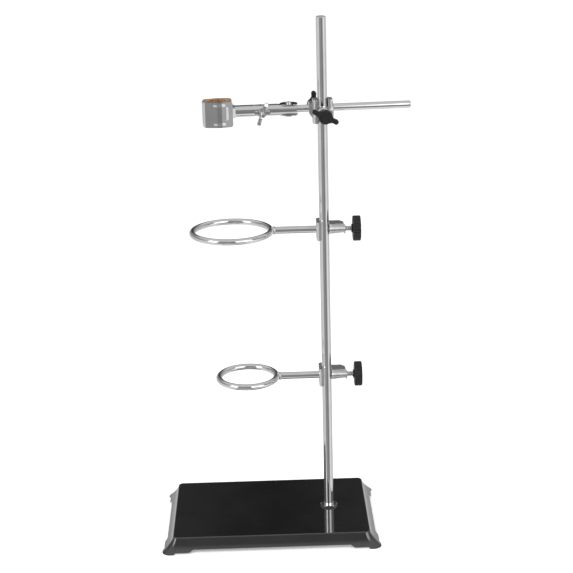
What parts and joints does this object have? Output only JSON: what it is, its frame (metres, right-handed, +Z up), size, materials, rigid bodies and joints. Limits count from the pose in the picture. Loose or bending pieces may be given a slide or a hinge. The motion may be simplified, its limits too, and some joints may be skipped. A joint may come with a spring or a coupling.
{
  "type": "retort stand",
  "caption": "Laboratory retort stand: black pressed-steel base, bright vertical rod, ring clamps, and a cross boss holding a cork-lined flask clamp.",
  "frame": {"origin": "on the support rod's axis, in the plane that the four corner feet stand on", "axes": "+Z up the support rod; the rings reach towards -X; +Y is the back"},
  "size_m": [0.2543, 0.142, 0.5145],
  "materials": {
    "black_enamel": "glossy stoved enamel",
    "bright_chrome": "bright nickel-chrome plate",
    "satin_casting": "satin plated die casting",
    "zinc_plated": "bright zinc plate",
    "black_moulded": "black moulded plastic",
    "cork_sheet": "fine-grained cork"
  },
  "bodies": {
    "base": {"base_plate": "black_enamel", "rod_nut": "bright_chrome", "base_washer": "zinc_plated", "base_nut": "zinc_plated"},
    "support_rod": {"support_rod": "bright_chrome"},
    "lower_ring_clamp": {"lower_ring": "bright_chrome", "lower_ring_arm": "bright_chrome", "lower_clamp_casting": "satin_casting"},
    "lower_thumbscrew": {"lower_thumbscrew": "zinc_plated", "lower_knob": "black_moulded"},
    "upper_ring_clamp": {"upper_ring": "bright_chrome", "upper_ring_arm": "bright_chrome", "upper_clamp_casting": "satin_casting"},
    "upper_thumbscrew": {"upper_thumbscrew": "zinc_plated", "upper_knob": "black_moulded"},
    "boss": {"boss_casting": "satin_casting"},
    "boss_front_screw": {"boss_front_screw": "zinc_plated", "boss_front_wing": "black_moulded"},
    "boss_rear_screw": {"boss_rear_screw": "zinc_plated", "boss_rear_wing": "black_moulded"},
    "flask_clamp": {"clamp_rod": "bright_chrome", "rear_jaw_arm": "bright_chrome", "rear_cork": "cork_sheet", "jaw_pivot_rivet": "zinc_plated", "clamp_bolt": "zinc_plated"},
    "front_jaw": {"front_jaw_arm": "bright_chrome", "front_cork": "cork_sheet"},
    "wing_nut": {"nut_washer": "zinc_plated", "wing_nut": "zinc_plated"}
  },
  "joints": [
    {"name": "rod_swivel", "type": "hinge", "parent": "base", "child": "support_rod", "pos_m": [0, 0, 0.0148], "axis": [0, 0, 1], "range_deg": [-180, 180]},
    {"name": "lower_ring_height", "type": "slide", "parent": "support_rod", "child": "lower_ring_clamp", "axis": [0, 0, 1], "range_m": [-0.12, 0.06]},
    {"name": "upper_ring_height", "type": "slide", "parent": "support_rod", "child": "upper_ring_clamp", "axis": [0, 0, 1], "range_m": [-0.055, 0.06]},
    {"name": "boss_height", "type": "slide", "parent": "support_rod", "child": "boss", "axis": [0, 0, 1], "range_m": [-0.025, 0.07]},
    {"name": "lower_thumbscrew_turn", "type": "hinge", "parent": "lower_ring_clamp", "child": "lower_thumbscrew", "pos_m": [0.02, 0, 0.159], "axis": [1, 0, 0], "continuous": true},
    {"name": "upper_thumbscrew_turn", "type": "hinge", "parent": "upper_ring_clamp", "child": "upper_thumbscrew", "pos_m": [0.02, 0, 0.31], "axis": [1, 0, 0], "continuous": true},
    {"name": "boss_front_screw_turn", "type": "hinge", "parent": "boss", "child": "boss_front_screw", "pos_m": [0.0007, -0.00998, 0.4245], "axis": [0.0698, -0.9976, 0], "continuous": true},
    {"name": "boss_rear_screw_turn", "type": "hinge", "parent": "boss", "child": "boss_rear_screw", "pos_m": [-0.00607, 0.01511, 0.427], "axis": [-0.0698, 0.9976, 0], "continuous": true},
    {"name": "clamp_rod_reach", "type": "slide", "parent": "boss", "child": "flask_clamp", "axis": [0.9976, 0.0698, 0], "range_m": [-0.06, 0.008]},
    {"name": "jaw_open", "type": "hinge", "parent": "flask_clamp", "child": "front_jaw", "pos_m": [-0.03159, 0.00731, 0.427], "axis": [0, 0, 1], "range_deg": [0, 18]},
    {"name": "wing_nut_travel", "type": "slide", "parent": "flask_clamp", "child": "wing_nut", "axis": [0.0698, -0.9976, 0], "range_m": [0, 0.0105]}
  ],
  "couplings": [
    {"joint": "wing_nut_travel", "follows": "jaw_open", "m_per_rad": 0.0332}
  ]
}
